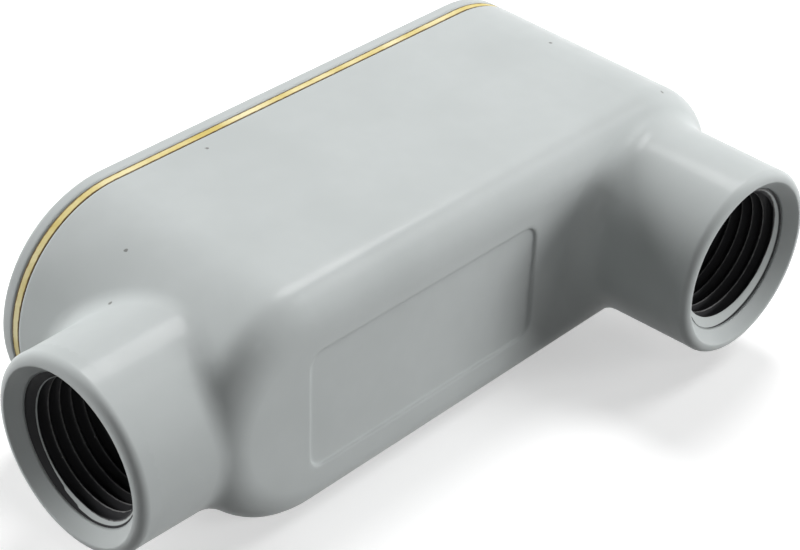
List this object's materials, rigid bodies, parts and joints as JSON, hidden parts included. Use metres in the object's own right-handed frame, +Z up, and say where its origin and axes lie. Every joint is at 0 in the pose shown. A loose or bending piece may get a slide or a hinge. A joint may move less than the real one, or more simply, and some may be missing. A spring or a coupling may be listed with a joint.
{
  "type": "conduit body",
  "caption": "Elbow-shaped conduit body: an oblong die-cast box with a threaded hub on its end, another on its back, and a gasketed cover held by screws.",
  "frame": {"origin": "on the surface that it lies on, below the middle of its outline seen from above", "axes": "+X along the box, away from the end hub; +Y out through the cover, so the back hub points to -Y; +Z up, across the width of the box"},
  "size_m": [0.112, 0.0604, 0.035],
  "materials": {
    "casting_paint": "smooth light grey semi-gloss paint on die-cast aluminium",
    "gasket_fibre": "matt straw-coloured fibre sheet",
    "cover_paint": "smooth light grey semi-gloss paint on die-cast aluminium",
    "screw_steel": "zinc-plated steel"
  },
  "bodies": {
    "root": {"body_casting": "casting_paint", "cover_gasket": "gasket_fibre", "cover": "cover_paint", "cover_screws": "screw_steel"}
  },
  "joints": []
}
